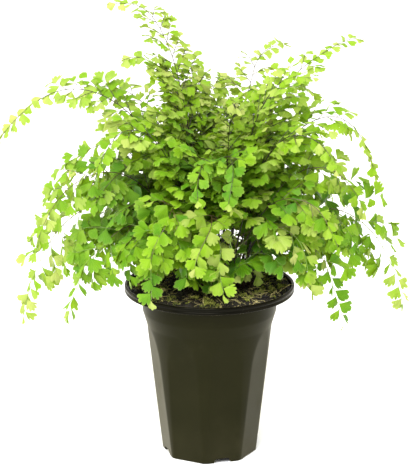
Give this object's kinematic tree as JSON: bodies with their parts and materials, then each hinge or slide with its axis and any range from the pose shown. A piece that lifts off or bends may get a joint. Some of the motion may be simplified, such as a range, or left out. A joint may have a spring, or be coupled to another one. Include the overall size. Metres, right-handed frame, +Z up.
{
  "type": "potted fern",
  "caption": "Maidenhair fern in a dark faceted nursery pot: arching fronds of fan-shaped leaflets on wiry stems, rising from a crown in the soil.",
  "frame": {"origin": "centre of the pot's base, on the plane that it stands on", "axes": "+Z up along the pot's axis; the picture is taken from -Y, with +X to its right"},
  "size_m": [0.2869, 0.2139, 0.3198],
  "materials": {
    "pot_plastic": "satin moulded",
    "potting_soil": "moist peat, rough",
    "rhizome": "rough, fibrous",
    "frond_green": "satin leaf"
  },
  "bodies": {
    "root": {"pot": "pot_plastic", "soil": "potting_soil", "crown": "rhizome", "frond_spire_01": "frond_green", "frond_spire_02": "frond_green", "frond_spire_03": "frond_green", "frond_spire_04": "frond_green", "frond_spire_05": "frond_green", "frond_spire_06": "frond_green", "frond_spire_07": "frond_green", "frond_arch_01": "frond_green", "frond_arch_02": "frond_green", "frond_arch_03": "frond_green", "frond_arch_04": "frond_green", "frond_arch_05": "frond_green", "frond_arch_06": "frond_green", "frond_arch_07": "frond_green", "frond_arch_08": "frond_green", "frond_arch_09": "frond_green", "frond_spray_01": "frond_green", "frond_spray_02": "frond_green", "frond_spray_03": "frond_green", "frond_spray_04": "frond_green", "frond_spray_05": "frond_green", "frond_spray_06": "frond_green", "frond_spray_07": "frond_green", "frond_spray_08": "frond_green", "frond_spray_09": "frond_green", "frond_skirt_01": "frond_green", "frond_skirt_02": "frond_green", "frond_skirt_03": "frond_green", "frond_skirt_04": "frond_green", "frond_skirt_05": "frond_green", "frond_skirt_06": "frond_green", "frond_skirt_07": "frond_green", "frond_skirt_08": "frond_green", "frond_skirt_09": "frond_green", "frond_skirt_10": "frond_green", "frond_veil_01": "frond_green", "frond_veil_02": "frond_green", "frond_veil_03": "frond_green", "frond_veil_04": "frond_green", "frond_veil_05": "frond_green", "frond_veil_06": "frond_green", "frond_veil_07": "frond_green", "frond_veil_08": "frond_green", "frond_veil_09": "frond_green"}
  },
  "joints": []
}
